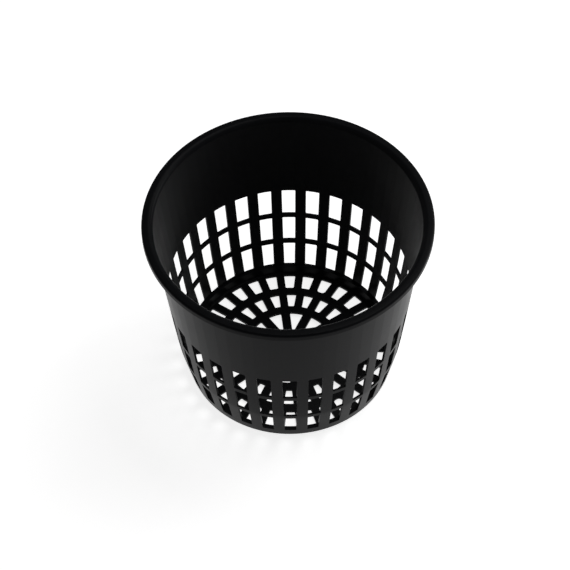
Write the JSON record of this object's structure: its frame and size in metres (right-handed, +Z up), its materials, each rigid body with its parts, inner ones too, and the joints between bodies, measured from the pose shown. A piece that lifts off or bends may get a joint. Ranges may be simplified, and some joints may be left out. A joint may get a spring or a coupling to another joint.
{
  "type": "hydroponic net pot",
  "caption": "Round tapered black plastic net pot with a downturned lip, a plain upper wall, rows of windows in the lower wall and a floor grille of rings and spokes.",
  "frame": {"origin": "centre of the foot, on the ground plane that the pot stands on", "axes": "+Z up along the axis of the pot, from the foot to the lip; +X runs through the middle of a column of wall windows"},
  "size_m": [0.127, 0.127, 0.096],
  "materials": {
    "black_plastic": "moulded black polypropylene, satin"
  },
  "bodies": {
    "root": {"net_pot": "black_plastic"}
  },
  "joints": []
}
